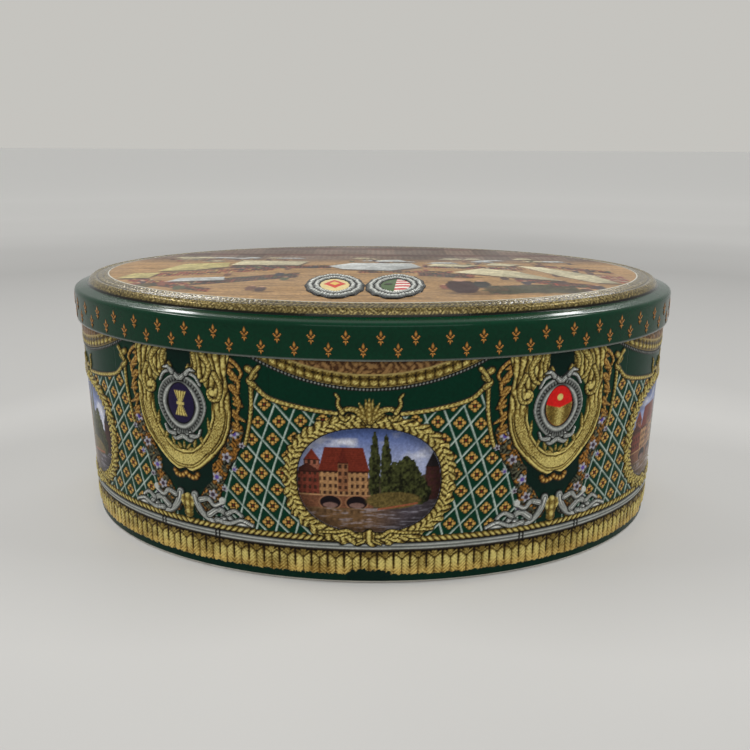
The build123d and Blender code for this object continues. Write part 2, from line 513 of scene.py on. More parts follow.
def swag_print(cv, du, v):
    hem = 73.2 + 10.4 * (du / 41.5) ** 2
    on = inside(hem - v) * strip(du, 46, 0.5)
    up = v - hem
    cv.lay(on, BROWN, 0.1, 0.25)
    curl = foliage(du, v, 2.6, 31)
    low, mid, high = srgb(26, 14, 10), srgb(84, 56, 34), srgb(146, 112, 70)
    cv.metal_relief(on * inside(5.6 - up), curl, low, mid, high, 0.15, 0.2, 0.3)
    f = (du / 3.1) % 1 - 0.5
    pal = np.abs(np.cos(np.pi * f)) ** 0.5 * (0.65 + 0.35 * np.cos(up * 2.2))
    cv.gold(on * strip(up - 3.4, 1.9), unit(0.95 * pal * (0.35 + 0.8 * foliage(du, v, 1.1, 33))), 0.3, 0.5)
    edge = strip(up - 5.7, 0.3, 0.25) + strip(up - 1.35, 0.2, 0.25)
    cv.lay(on * unit(edge), srgb(170, 150, 92), 0.4, 0.5)
    b = (du / 1.25) % 1 - 0.5
    r = np.hypot(b * 1.25, up - 0.6)
    cv.lay(strip(up - 0.6, 0.8) * on, DARK, 0.0, 0.2)
    cv.silver(inside(r - 0.48, 0.25) * on, unit(1 - r / 0.6) * 0.8, 0.3, 0.4)


def medallion_print(cv, du, v, which):
    cx, cy, hw, hh, power = 0.0, 40.4, 25.0, 19.6, 2.35
    x, y = du - cx, v - cy
    rho = (np.abs(x / hw) ** power + np.abs(y / hh) ** power) ** (1 / power)
    th = np.arctan2(y / hh, x / hw)
    d = (rho - 1) * (hw * hh) / np.hypot(hh * np.cos(th), hw * np.sin(th))
    along = th / (2 * np.pi) * 148
    wave = 0.55 * np.sin(along * 2 * np.pi / 4.1) + 0.5 * (noise(along / 1.6, d * 0.8, 41) - 0.5)
    cv.lay(inside(d - 5.4 - wave), DARK, 0.0, 0.15)
    side = np.where(d > 2.7, 0.5, 0.0)
    stray = 0.55 * (noise(along / 1.9, d / 1.3, 45) - 0.5)
    lf = (along / 2.35 + side + stray + np.abs(d - 2.7) * 0.30 * np.sign(y + 1e-6)) % 1 - 0.5
    rel = unit(1.25 - np.abs(lf) * 2.6) ** 0.7 * unit(1 - ((d - 2.7) / 3.3) ** 2) ** 0.4
    rel = unit(rel * (0.2 + 1.1 * foliage(du, v, 1.2, 43)))
    ring = inside(d - 5.0 - wave) * inside(0.3 - d)
    cv.gold(ring, rel, 0.35, 0.75)
    cv.lay(inside(d - 0.35, 0.25), DARK, 0.0, 0.25)
    for n in range(len(MEDALLIONS)):
        here = (which == n) & (rho < 1.1)
        if here.any():
            k = inside(d + 0.1) * here
            village(cv, k, du, v, n * 7)
            cv.c *= 1 - (0.5 * k * smooth(-4.5, 0.0, d))[..., None]
    # crown of leaves above, small scrolls below
    for s in (-1, 1):
        xs = du * s
        crown = [(0.5, 62.5), (3.5, 66.0), (7.5, 66.8), (9.6, 64.6), (8.2, 62.9), (6.8, 64)]
        scroll(cv, xs, v, crown, 1.15)
        scroll(cv, xs, v, [(9.0, 65.5), (10.6, 68.3), (10.4, 70.6), (11.4, 72.0)], 0.75)
        for a, ln in ((1.1, 7.5), (0.65, 7.0), (1.45, 8.0)):
            leaf(cv, xs, v, 0.3, 62.8, a, ln, 2.2, base=0.45)
        foot = [(0.3, 21.0), (2.2, 19.2), (4.8, 19.5), (7.5, 21.3), (11.5, 20.7), (17.5, 20.6)]
        scroll(cv, xs, v, foot, 0.85)
        scroll(cv, xs, v, [(1.4, 20.2), (1.6, 17.5), (4.2, 16.0)], 0.7)
    leaf(cv, du, v, 0, 61.5, math.pi / 2, 9.5, 3.0, base=0.6)
    cv.gold(inside(np.hypot(du, (v - 19.4) * 0.9) - 1.8), 0.6 + 0.4 * np.cos(du * 2.6), 0.5, 0.4)


def flower(cv, x, y, cx, cy, r, violet):
    dx, dy = x - cx, y - cy
    rr, th = np.hypot(dx, dy), np.arctan2(dy, dx)
    edge = r * (0.8 + 0.2 * np.cos(th * 5))
    k = inside(rr - edge)
    petal = 0.55 + 0.45 * np.abs(np.cos(th * 2.5))
    cv.tint(k, srgb(168, 166, 176) * petal[..., None])
    cv.m *= 1 - k
    cv.h += (0.55 + 0.3 * petal - cv.h) * k
    cv.lay(inside(rr - 0.42 * r), srgb(92, 74, 150) if violet else srgb(60, 46, 60), 0.0)


def cartouche_print(cv, ds, v, which):
    s = np.abs(ds)
    # flower garlands down both sides
    g = GARLAND + np.array([68.6, 0])
    d, share = dist_line(s, v, g)
    w = 2.6 + 0.9 * noise(share * 14, share * 0, 51)
    cv.lay(inside(d - w - 0.4), DARK, 0.0, 0.1)
    bloom = foliage(ds, v, 1.6, 53)
    tint = noise(ds / 1.5, v / 1.5, 55)
    warm = np.where((tint < 0.5)[..., None], srgb(150, 104, 46), srgb(84, 84, 66))
    k = inside(d - w)
    lit = np.clip(2.4 * bloom - 0.95, 0.04, 1.5)[..., None]
    cv.cover(k, warm * lit, 0.25, 0.3 + 0.45 * bloom)
    for n, (fx, fy) in enumerate(((21.0, 55.3), (17.6, 46.0), (13.3, 37.8), (11.2, 30.6))):
        flower(cv, s, v, fx, fy, 2.0, n % 2 == 0)
        flower(cv, s, v, fx + 2.8, fy - 4.2, 1.25, n % 2 == 1)
    # dark ground under the shield
    tri = inside(s - (11.5 - np.abs(36 - v) * 1.15 * (v < 36)), 0.4) * inside(27 - v) * inside(v - 46)
    cv.lay(tri, GREEN_DEEP, 0.0, 0.0)
    # outer acanthus, warm gold
    for pts, wd in (
        ([(16.0, 83.5), (21.5, 81.5), (24.6, 77.5), (22.2, 74.0)], 1.5),
        ([(19.0, 79.5), (23.2, 74.5), (22.8, 69.0), (24.4, 65.5)], 1.5),
        ([(20.0, 72.5), (23.4, 67.5), (22.4, 61.8), (25.2, 60.2)], 1.35),
        ([(20.0, 63.5), (22.6, 58.8), (20.4, 55.6)], 1.1),
    ):
        scroll(cv, s, v, pts, wd * 0.55, "amber", base=0.3)
    for n in range(12):
        ly = 82.5 - n * 2.3
        lx = float(np.interp(ly, [55, 62, 70, 76, 84], [20.4, 20.6, 21.0, 20.0, 17.5]))
        leaf(cv, s, v, lx, ly, -0.75 + 0.5 * (n % 2), 4.4 - 0.6 * (n % 3), 1.9, "amber", base=0.4)
    # the big ogee frame
    rim_v = [38.2, 40.0, 42.0, 45.5, 51, 57, 63, 70, 76, 84]
    rim = np.interp(v, rim_v, [3.2, 6.6, 9.0, 12.8, 17.2, 19.4, 20.2, 19.6, 18.6, 20.5])
    hole_v = [46.3, 47.0, 49.5, 54, 60, 66, 70, 73, 76, 84]
    hole = np.interp(v, hole_v, [0.0, 4.0, 7.0, 10.2, 12.4, 12.8, 11.6, 9.6, 6.0, 5.0])
    cusp = 38.3 + 0.9 * np.cos(np.clip(ds, -5, 5) * np.pi / 5)
    frame_on = inside(s - rim) * inside(cusp - v)
    field = inside(s - hole) * inside(46.3 - v)
    cv.lay(inside(s - rim - 0.5) * inside(cusp - 0.5 - v), DARK, 0.0, 0.2)
    # share of the way from the field's edge to the rim, measured square to both
    low = np.interp(s, [0.0, 3.2, 6.6, 9.0, 12.8, 17.2, 19.4], [38.2, 38.2, 40.0, 42.0, 45.5, 51.0, 57.0])
    high = np.interp(s, [0.0, 4.0, 7.0, 10.2, 12.4, 12.9], [46.3, 47.0, 49.5, 54.0, 60.0, 90.0])
    out_h, out_v = np.maximum(rim - s, 0.01), np.maximum(v - low, 0.01)
    in_h = np.where(v > 46.3, np.maximum(s - hole, 0.01), 99.0)
    in_v = np.maximum(high - v, 0.01)
    far, close = out_h * out_v / np.hypot(out_h, out_v), in_h * in_v / np.hypot(in_h, in_v)
    mid = close / (close + far)
    rolls = np.exp(-(((mid - 0.1) / 0.06) ** 2)) + 0.9 * np.exp(-(((mid - 0.92) / 0.05) ** 2))
    rolls = rolls + 0.6 * np.exp(-(((mid - 0.79) / 0.03) ** 2)) + 0.2 * smooth(46.5, 44.0, v)
    chip = foliage(ds, v, 1.0, 63)
    wide = strip(mid - 0.47, 0.24, 0.05) * (0.2 + 0.6 * chip)
    chased = foliage(ds, v, 1.9, 61)
    leafy = smooth(60, 66, v)
    comb = np.abs(np.sin(s * 1.25 + 1.5 * np.sin(v * 0.3 + 0.6) + 2.2 * noise(s / 3, v / 6, 65)))
    strands = (1.15 * comb**0.7 - 0.15) * (0.45 + 0.75 * noise(ds * 1.1, v * 1.3, 66))
    rel = unit((rolls + wide + 0.1 * chased) * (1 - leafy) + leafy * strands)
    cv.gold(frame_on, rel, 0.4, 0.8)
    cv.lay(field * inside(v - 76, 0.4), GREEN, 0.0, 0.05)
    notch = inside(np.hypot(ds, (v - 80.5) * 0.8) - 5.3)
    cv.lay(notch, GREEN_DEEP, 0.0, 0.0)
    # scrolls beside the field and at its foot
    for pts, wd, base in (
        ([(6.0, 83.5), (7.2, 79.5), (6.2, 76.2), (3.6, 76.8), (4.2, 78.4)], 1.0, 0.6),
        ([(9.5, 83.5), (12.5, 79.0), (11.0, 74.5), (9.0, 73.2)], 1.3, 0.6),
        ([(14.5, 76.5), (16.6, 72.0), (15.6, 67.4), (12.6, 67.0), (11.6, 69.6), (13.2, 71.0)], 1.0, 0.8),
    ):
        scroll(cv, s, v, pts, wd, base=base)
    cv.gold(inside(np.hypot(s - 13.4, v - 69.4) - 1.1), 0.9 + 0 * s, 0.9, 0.4)
    for a, cx, cy, ln in ((2.2, 11.5, 53.5, 6.5), (2.5, 8.6, 49.0, 5.0), (1.9, 4.4, 47.6, 4.2)):
        leaf(cv, s, v, cx, cy, a - 0.5, ln, 1.9, base=0.3)
    for cx in (0.0, 1.6, 3.0):
        leaf(cv, s, v, cx * 0.6, 46.6, 1.57 - cx * 0.45, 3.2, 1.4, base=0.3)
    # silver shield frame with its bead row, and the arms
    cy = 63.2
    y = v - cy
    half = 10.3 * (1 - 0.018 * np.clip(-y, 0, 12))
    rr = np.hypot(ds / half, y / 11.4)
    cv.lay(inside((rr - 1.03) * 10.5), DARK, 0.0, 0.15)
    shell = inside((rr - 1) * 10.5)
    ang = np.arctan2(y / 11.4, ds / half)
    beads = np.hypot(((ang / (2 * np.pi) * 46) % 1 - 0.5) * 1.45, (rr - 0.86) * 10.8)
    rings = 0.35 + 0.4 * np.cos((rr - 0.7) * 21)
    cv.silver(shell, unit(rings + 0.7 * unit(1 - beads / 0.8)), 0.55, 0.7)
    for pts in (
        [(0.6, 73.4), (3.4, 75.4), (6.6, 74.6), (8.6, 71.6)],
        [(3.0, 75.2), (4.6, 76.8), (6.4, 76.6)],
        [(0.4, 51.4), (3.2, 50.2), (4.8, 52.4), (3.2, 53.4)],
        [(3.6, 52.0), (6.4, 52.4), (7.6, 54.8)],
    ):
        scroll(cv, s, v, pts, 0.9, "silver", base=0.8)
    ra = np.hypot(ds / 5.5, (v - 64.0) / 7.4)
    cv.lay(inside((ra - 1.06) * 6.2), DARK, 0.0, 0.5)
    for n in range(len(SHIELDS)):
        here = (which == n) & (ra < 1.2)
        if here.any():
            arms_panel(cv, inside((ra - 1) * 6.2) * here, ds, v - 64.0, (0, 1, 2, 3, 2)[n])
    cv.h += unit(1 - ra**2) * 0.35
    # gold swag under the cusp, and the vase
    d, share = dist_line(s, v, smooth_line([(0, 37.0), (2.0, 35.8), (4.0, 35.8), (5.0, 37.2)], 12))
    cv.amber(inside(d - 1.2), unit(1.2 - d) * (0.7 + 0.3 * np.cos(share * 24)), 0.3, 0.5)
    vase = np.interp(v, [19.4, 20.5, 22, 24, 26, 28, 29], [1.2, 1.9, 1.6, 2.2, 3.0, 2.4, 0.3])
    von = inside(s - vase) * inside(19.4 - v) * inside(v - 29)
    # sculpted silver scroll figures flanking it
    for pts, wd in (
        ([(3.2, 29.0), (4.2, 25.5), (7.2, 21.4), (11.5, 19.8), (15.5, 21.6)], 1.55),
        ([(9.2, 22.2), (13.0, 24.8), (16.4, 23.2), (19.5, 20.6), (25.5, 20.4)], 1.3),
        ([(5.6, 27.5), (9.0, 28.4), (11.4, 26.2), (14.5, 27.6)], 1.15),
        ([(12.0, 20.6), (17.0, 19.9), (22.0, 21.8), (26.5, 20.3)], 1.0),
        ([(16.5, 23.6), (19.5, 25.2), (22.4, 23.4)], 0.95),
    ):
        scroll(cv, s, v, pts, wd, "silver", base=0.45, amp=0.8, taper=0.35)
    cv.silver(inside(np.hypot(s - 14.8, v - 28.6) - 1.25), 0.8 + 0 * s, 0.7, 0.5)
    cv.gold(von, 0.25 + 0.7 * np.abs(np.cos(ds * 1.3)) * (0.7 + 0.3 * np.cos(v * 2)), 0.6, 0.7)


def wall_print(u, v):
    cv = Canvas(u, v, GREEN_DEEP)
    cv.c[:] = blend(GREEN_DEEP, GREEN, (0.3 + 0.4 * smooth(5, 80, v))[..., None])
    du, which = nearest(u, MEDALLIONS)
    ds, shield = nearest(u, SHIELDS)
    swag_print(cv, du, v)
    room = lattice_room(du, v)
    lattice_print(cv, du, v, room)
    x = -np.abs(du)
    for line, wd in ((ROD, 0.75), (POST, 0.7)):
        scroll(cv, x, v, line[:: max(1, len(line) // 6)], wd, base=0.4, taper=0.1)
    scroll(cv, x, v, [(-41.6, 79.4), (-39.0, 77.6), (-41.2, 75.2), (-39.4, 73.6)], 1.2, base=0.5, taper=0.2)
    scroll(cv, x, v, [(-37.6, 80.2), (-39.4, 78.2), (-40.6, 76)], 0.8, base=0.5, taper=0.2)
    near = np.abs(ds) < 30
    if near.any():
        cartouche_print(cv, ds, v, shield)
    band_prints(cv, u, v, du, ds)
    if (np.abs(du) < 34).any():
        medallion_print(cv, du, v, which)
    # nothing stands proud under the skirt or at the foot's bend
    cv.h *= inside(v - 82.6, 1.6) * smooth(2.2, 4.2, v)
    return cv


# ---------------------------------------------------------------- meshes
def new_mesh(name, verts, faces, mats, face_mats=None, n_smooth=None, colors=None):
    # n_smooth: how many of the first faces are smooth, all of them if None
    me = bpy.data.meshes.new(name)
    me.from_pydata(verts, [], faces)
    for m in mats:
        me.materials.append(m)
    if face_mats is not None:
        me.polygons.foreach_set("material_index", np.asarray(face_mats, dtype=np.int32))
    if n_smooth is None:
        n_smooth = len(faces)
    me.polygons.foreach_set("use_smooth", np.arange(len(faces)) < n_smooth)
    if colors is not None:
        att = me.color_attributes.new("print", "FLOAT_COLOR", "POINT")
        att.data.foreach_set("color", np.asarray(colors, dtype=np.float32).ravel())
    me.update()
    ob = bpy.data.objects.new(name, me)
    bpy.context.scene.collection.objects.link(ob)
    return ob


def grid_faces(nu, nv, wrap=False, start=0):
    i = np.arange(nu if wrap else nu - 1)
    j = np.arange(nv - 1)
    a = (i[:, None] * nv + j[None, :]).ravel() + start
    b = (((i[:, None] + 1) % nu) * nv + j[None, :]).ravel() + start
    return np.stack([a, b, b + 1, a + 1], -1)


SKIN_STEP = 0.3
SKIN_BACK = 0.06
SKIN_FRONT = 0.05
SKIN_BOTTOM = 1.05
SKIN_TOP = 92.0
RELIEF = 0.8


def wall_panel(name, u0, u1, mats):
    nu = int((u1 - u0) / SKIN_STEP) + 2
    nv = int((SKIN_TOP - SKIN_BOTTOM) / SKIN_STEP) + 2
    u = np.linspace(u0, u1, nu)
    v = np.linspace(SKIN_BOTTOM, SKIN_TOP, nv)
    uu, vv = np.meshgrid(u, v, indexing="ij")
    cv = wall_print(uu, vv)
    x, y, nx, ny = oval_xy(wall_t(u), WALL_INSET)
    out = SKIN_FRONT + cv.h * RELIEF
    px = x[:, None] + nx[:, None] * out
    py = y[:, None] + ny[:, None] * out
    front = np.stack([px, py, vv], -1).reshape(-1, 3)
    back = []
    for z in (SKIN_BOTTOM, SKIN_TOP):
        back.append(np.stack([x - nx * SKIN_BACK, y - ny * SKIN_BACK, np.full(nu, z)], -1))
    verts = np.vstack([front, back[0], back[1]]) * MM
    faces = grid_faces(nu, nv).tolist()
    n_front = len(faces)
    lo, hi = nu * nv, nu * nv + nu
    for i in range(nu - 1):
        faces.append([lo + i, hi + i, hi + i + 1, lo + i + 1])
        faces.append([i * nv, lo + i, lo + i + 1, (i + 1) * nv])
        faces.append([i * nv + nv - 1, (i + 1) * nv + nv - 1, hi + i + 1, hi + i])
    faces.append([lo] + list(range(0, nv)) + [hi])
    faces.append([lo + nu - 1, hi + nu - 1] + list(range(nu * nv - 1, (nu - 1) * nv - 1, -1)))
    cols = np.zeros((len(verts), 4), np.float32)
    cols[: nu * nv] = cv.vertex_colors()
    cols[nu * nv :, :3] = GREEN_DEEP
    return new_mesh(name, verts, faces, mats, None, n_front, cols)


# ---------------------------------------------------------------- materials
def node_mat(name):
    m = bpy.data.materials.new(name)
    m.use_nodes = True
    nt = m.node_tree
    bsdf = nt.nodes["Principled BSDF"]
    return m, nt, bsdf


def add(nt, kind, **props):
    n = nt.nodes.new(kind)
    for k, val in props.items():
        setattr(n, k, val)
    return n


def put(node, **values):
    # sets inputs; an underscore stands for the space in an input's name
    for key, value in values.items():
        node.inputs[key.replace("_", " ")].default_value = value


def join(nt, a, out, b, into):
    nt.links.new(a.outputs[out], b.inputs[into])


def noise_node(nt, scale, detail=4, rough=0.5):
    tc = add(nt, "ShaderNodeTexCoord")
    n = add(nt, "ShaderNodeTexNoise")
    put(n, Scale=scale, Detail=detail, Roughness=rough)
    join(nt, tc, "Object", n, "Vector")
    return n


def ramp(nt, src, lo, hi, a=0.35, b=0.65):
    r = add(nt, "ShaderNodeMapRange")
    put(r, From_Min=a, From_Max=b, To_Min=lo, To_Max=hi)
    nt.links.new(src, r.inputs["Value"])
    return r.outputs["Result"]


def bump(nt, bsdf, src, strength, dist):
    b = add(nt, "ShaderNodeBump")
    put(b, Strength=strength, Distance=dist)
    nt.links.new(src, b.inputs["Height"])
    join(nt, b, "Normal", bsdf, "Normal")


def print_mat(name, rough=(0.26, 0.4), coat=0.35, coat_rough=0.1, coat_ior=1.2):
    # lithographed tin: ink colour and metal share from the print, under clear varnish
    m, nt, bsdf = node_mat(name)
    att = add(nt, "ShaderNodeAttribute", attribute_name="print")
    fine = noise_node(nt, 900, 3)
    mixc = add(nt, "ShaderNodeMix", data_type="RGBA", blend_type="MULTIPLY")
    put(mixc, Factor=1.0)
    grain = add(nt, "ShaderNodeCombineColor")
    val = ramp(nt, fine.outputs["Fac"], 0.86, 1.08)
    for s in ("Red", "Green", "Blue"):
        nt.links.new(val, grain.inputs[s])
    join(nt, att, "Color", mixc, "A")
    join(nt, grain, "Color", mixc, "B")
    join(nt, mixc, "Result", bsdf, "Base Color")
    join(nt, att, "Alpha", bsdf, "Metallic")
    wide = noise_node(nt, 45, 3)
    nt.links.new(ramp(nt, wide.outputs["Fac"], rough[0], rough[1]), bsdf.inputs["Roughness"])
    bump(nt, bsdf, fine.outputs["Fac"], 0.12, 0.00008)
    put(bsdf, Specular_IOR_Level=0.05, Coat_Weight=coat)
    put(bsdf, Coat_IOR=coat_ior, Coat_Roughness=coat_rough)
    return m


def tinplate_mat(name, color=(0.62, 0.6, 0.55), rough=(0.22, 0.38)):
    # bare tinplate: rolled grain, faint crystals and thin rubbed marks
    m, nt, bsdf = node_mat(name)
    tc = add(nt, "ShaderNodeTexCoord")
    mp = add(nt, "ShaderNodeMapping")
    put(mp, Scale=(30, 900, 900))
    join(nt, tc, "Object", mp, "Vector")
    n = add(nt, "ShaderNodeTexNoise")
    put(n, Scale=1.0, Detail=5)
    join(nt, mp, "Vector", n, "Vector")
    cells = add(nt, "ShaderNodeTexVoronoi")
    put(cells, Scale=160)
    join(nt, tc, "Object", cells, "Vector")
    cr = add(nt, "ShaderNodeValToRGB")
    cr.color_ramp.elements[0].color = (color[0] * 0.8, color[1] * 0.8, color[2] * 0.8, 1)
    cr.color_ramp.elements[1].color = (color[0] * 1.1, color[1] * 1.1, color[2] * 1.08, 1)
    join(nt, cells, "Color", cr, "Fac")
    join(nt, cr, "Color", bsdf, "Base Color")
    put(bsdf, Metallic=1.0)
    nt.links.new(ramp(nt, n.outputs["Fac"], rough[0], rough[1]), bsdf.inputs["Roughness"])
    bump(nt, bsdf, n.outputs["Fac"], 0.1, 0.00005)
    return m


tinplate = tinplate_mat("tinplate_inside")
wall_ink = print_mat("wall_lithograph")

# ---------------------------------------------------------------- wall skin panels
centres = sorted(MEDALLIONS + SHIELDS)
cuts = [(a + b) / 2 for a, b in zip(centres[:-1], centres[1:])]
last = (centres[-1] + centres[0] + WALL_ROUND) / 2
cuts = [last - WALL_ROUND] + cuts + [last]
for k in range(10):
    ob = wall_panel("wall_print_%02d" % (k + 1), cuts[k], cuts[k + 1], [wall_ink])
    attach(ob, "tin")

for node in ("body_wall", "base_panel"):
    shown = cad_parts[node]
    shown.data.materials.clear()
    shown.data.materials.append(tinplate)

# ---------------------------------------------------------------- lid
def fillet_path(points, radii, n=6):
    p = [np.array(q, float) for q in points]
    out = [p[0]]
    for k in range(1, len(p) - 1):
        a, b, c = p[k - 1], p[k], p[k + 1]
        ua, uc = (a - b) / np.linalg.norm(a - b), (c - b) / np.linalg.norm(c - b)
        half = math.acos(float(np.clip(ua @ uc, -1, 1))) / 2
        reach = radii[k - 1] / math.tan(half)
        mid = (ua + uc) / np.linalg.norm(ua + uc)
        centre = b + mid * radii[k - 1] / math.sin(half)
        s, e = b + ua * reach - centre, b + uc * reach - centre
        a0, a1 = math.atan2(s[1], s[0]), math.atan2(e[1], e[0])
        turn = (a1 - a0 + math.pi) % (2 * math.pi) - math.pi
        for q in np.linspace(0, 1, n):
            ang = a0 + turn * q
            out.append(centre + radii[k - 1] * np.array([math.cos(ang), math.sin(ang)]))
    out.append(p[-1])
    return np.array(out)


def resample(path, step):
    seg = np.hypot(*np.diff(path, axis=0).T)
    keep = [path[0]]
    for a, b, ln in zip(path[:-1], path[1:], seg):
        n = max(1, int(math.ceil(ln / step)))
        for q in range(1, n + 1):
            keep.append(a + (b - a) * q / n)
    return np.array(keep)


def path_normals(path):
    tan = np.gradient(path, axis=0)
    tan /= np.linalg.norm(tan, axis=1)[:, None]
    return np.stack([tan[:, 1], -tan[:, 0]], -1)


SHEET = 0.3
SHOULDER = 4.4
LID_PATH = fillet_path(
    [
        (1.25, HEM_Z + 1.1),
        (1.25, HEM_Z),
        (0, HEM_Z),
        (0, TOP_Z - SHOULDER),
        (5.4, TOP_Z - 3.3),
        (6.5, TOP_Z - 1.3),
        (7.7, TOP_Z - 0.5),
        (8.9, TOP_Z - 0.8),
        (13.9, TOP_Z),
        (18.9, TOP_Z),
    ],
    [0.45, 0.45, 1.5, 0.5, 0.5, 0.5, 0.5, 0.8],
)


def part_of_lid(d0, d1, step, up):
    # the lid section between two insets; up keeps to the part above the shoulder
    path = resample(LID_PATH, step)
    if up:
        keep = (path[:, 1] > TOP_Z - 4.6) & (path[:, 0] > d0) & (path[:, 0] < d1)
    else:
        keep = path[:, 0] < d1
    return path[keep]


def swept(name, path, cols, color_of, relief_of, mats):
    # carries an open section round the oval as a closed sheet of the lid's thickness
    n = path_normals(path)
    inner = path + n * SHEET
    u = np.arange(cols) * LID_ROUND / cols - LID_ROUND / 2
    t = lid_t(u)
    k = len(path)
    run = np.concatenate([[0], np.cumsum(np.hypot(*np.diff(path, axis=0).T))])
    uu, ss = np.meshgrid(u, run, indexing="ij")
    rel = relief_of(uu, ss, path)
    d_out = path[None, :, 0] - n[None, :, 0] * rel
    z_out = path[None, :, 1] - n[None, :, 1] * rel
    d_all = np.concatenate([d_out, np.broadcast_to(inner[::-1, 0], (cols, k))], 1)
    z_all = np.concatenate([z_out, np.broadcast_to(inner[::-1, 1], (cols, k))], 1)
    bx, by, nx, ny = oval_xy(t, 0)
    px = bx[:, None] - nx[:, None] * d_all
    py = by[:, None] - ny[:, None] * d_all
    verts = np.stack([px, py, z_all], -1).reshape(-1, 3) * MM
    m = 2 * k
    i = np.arange(cols)
    faces = []
    for j in range(m):
        a = i * m + j
        b = ((i + 1) % cols) * m + j
        c = ((i + 1) % cols) * m + (j + 1) % m
        d = i * m + (j + 1) % m
        faces.append(np.stack([a, b, c, d], -1))
    fm = np.concatenate([np.full(cols, 0 if j < k - 1 else 1) for j in range(m)])
    faces = np.concatenate(faces).tolist()
    cols4 = np.zeros((cols, m, 4), np.float32)
    c, metal = color_of(uu, ss, path)
    cols4[:, :k, :3] = c
    cols4[:, :k, 3] = metal
    cols4[:, k:, :3] = GREEN_DEEP
    return new_mesh(name, verts, faces, mats, fm, None, cols4.reshape(-1, 4))


lid_ink = print_mat("lid_lithograph", (0.2, 0.32), 0.6, 0.06, 1.28)


def skirt_color(uu, _, path):
    base = np.empty(uu.shape + (3,))
    base[:] = srgb(0, 50, 30)
    z = np.broadcast_to(path[:, 1], uu.shape)
    low = inside(z - HEM_Z - 0.75) * (np.broadcast_to(path[:, 0], uu.shape) < 3)
    base += (srgb(120, 124, 120) - base) * (low * 0.8)[..., None]
    tone = 0.86 + 0.2 * noise(uu / 40, z / 6, 3)
    return base * tone[..., None], 0.7 * low + 0.05


lid_skirt = swept(
    "lid_skirt",
    part_of_lid(-1, 5.5, 0.5, False),
    900,
    skirt_color,
    lambda u, s, p: 0 * u,
    [lid_ink, tinplate],
)


def border_tex(uu, ss, path):
    # fine chased leaves on the roll, and a slanted leaf row on the band inside it
    d = np.broadcast_to(path[:, 0], uu.shape)
    run = np.broadcast_to(ss, uu.shape)
    moulding = smooth(5.5, 5.9, d) * smooth(9.2, 8.9, d)
    band = smooth(9.3, 9.6, d) * smooth(13.5, 13.2, d)
    curl = foliage(uu, run * 1.0, 1.25, 101)
    beat = np.abs(np.sin(uu * math.pi / (LID_ROUND / 260) + 1.3 * np.cos(run * 2.2)))
    lean = np.abs(np.sin((uu + np.abs(d - 11.4) * 0.8) * math.pi / (LID_ROUND / 300)))
    spine = smooth(0.08, 0.3, np.abs(d - 11.4))
    rel_m = unit(0.05 + 0.8 * curl + 0.15 * beat)
    rel_b = unit(0.05 + 0.35 * lean * spine + 0.6 * curl)
    return moulding, band, rel_m, rel_b


def border_relief(uu, ss, path):
    moulding, band, rel_m, rel_b = border_tex(uu, ss, path)
    return 0.12 * moulding * rel_m + 0.16 * band * rel_b


def border_color(uu, ss, path):
    d = np.broadcast_to(path[:, 0], uu.shape)
    moulding, band, rel_m, rel_b = border_tex(uu, ss, path)
    r = unit((moulding * rel_m + band * rel_b - 0.36) * 1.5)[..., None]
    c = tones(r, GOLD_BROWN, srgb(104, 90, 50), srgb(176, 160, 106))
    groove = strip(d - 5.45, 0.4) + strip(d - 9.25, 0.2, 0.15)
    c = blend(c, srgb(16, 18, 12), unit(groove)[..., None])
    c = blend(c, srgb(226, 222, 204), strip(d - 13.75, 0.2, 0.2)[..., None])
    return c, 0.45 * unit(moulding + band)


lid_border = swept(
    "lid_border",
    part_of_lid(5.3, 14.3, 0.3, True),
    2000,
    border_color,
    border_relief,
    [lid_ink, tinplate],
)


# ---- the painted picture: a generic market square seen from above
def poly(x, y, pts, soft=0.6):
    # 1 inside a convex outline
    pts = np.asarray(pts, float)
    if np.sum(pts[:, 0] * np.roll(pts[:, 1], -1) - np.roll(pts[:, 0], -1) * pts[:, 1]) < 0:
        pts = pts[::-1]
    d = np.full(np.shape(x), -1e9)
    for (x0, y0), (x1, y1) in zip(pts, np.roll(pts, -1, axis=0)):
        ln = math.hypot(x1 - x0, y1 - y0)
        d = np.maximum(d, ((x - x0) * (y1 - y0) - (y - y0) * (x1 - x0)) / ln)
    return inside(d, soft)


def awning(cv, pts, color, seed, drop=3.2):
    x, y = cv.x, cv.y
    mid = np.mean(pts, axis=0)
    cv.lay(poly(x - 0.8, y + drop, pts, 1.6) * 0.8, srgb(52, 36, 32))
    on = poly(x, y + 0.35 * np.abs(np.sin(x * 1.7)), pts)
    ang = np.arctan2(y - mid[1] - 2, x - mid[0])
    panel = 0.86 + 0.09 * np.sign(np.sin(ang * 5 + seed)) - 0.012 * (x - mid[0]) + 0.014 * (y - mid[1])
    tone = np.clip(panel * (0.8 + 0.32 * fbm(x / 3, y / 3, seed, 3)), 0.3, 1.15)[..., None]
    cv.tint(on, np.asarray(color) * tone)
    post = strip(x - mid[0], 0.4, 0.4) * strip(y - mid[1] + 5.5, 4.5, 0.4)
    cv.lay(post * (1 - on), srgb(150, 126, 92))


def crates(cv, cx, cy, w, h, seed, tints, slope=0.0):
    x, y = cv.x - cx, cv.y - cy - slope * (cv.x - cx)
    on = strip(x, w / 2, 0.8) * strip(y, h / 2, 0.8)
    i, j = np.floor(x / 1.7), np.floor(y / 1.4)
    pick = hash01(i, j, seed)
    fx, fy = (x / 1.7) % 1 - 0.5, (y / 1.4) % 1 - 0.5
    lump = np.clip(1.1 - 1.6 * np.hypot(fx, fy), 0.25, 1)
    pile = fbm(x * 1.2, y * 1.2, seed + 1, 3)
    for n, tint in enumerate(tints):
        m = on * (pick >= n / len(tints)) * (pick < (n + 1) / len(tints))
        cv.tint(m, srgb(*tint) * (lump * (0.75 + 1.3 * pile))[..., None])


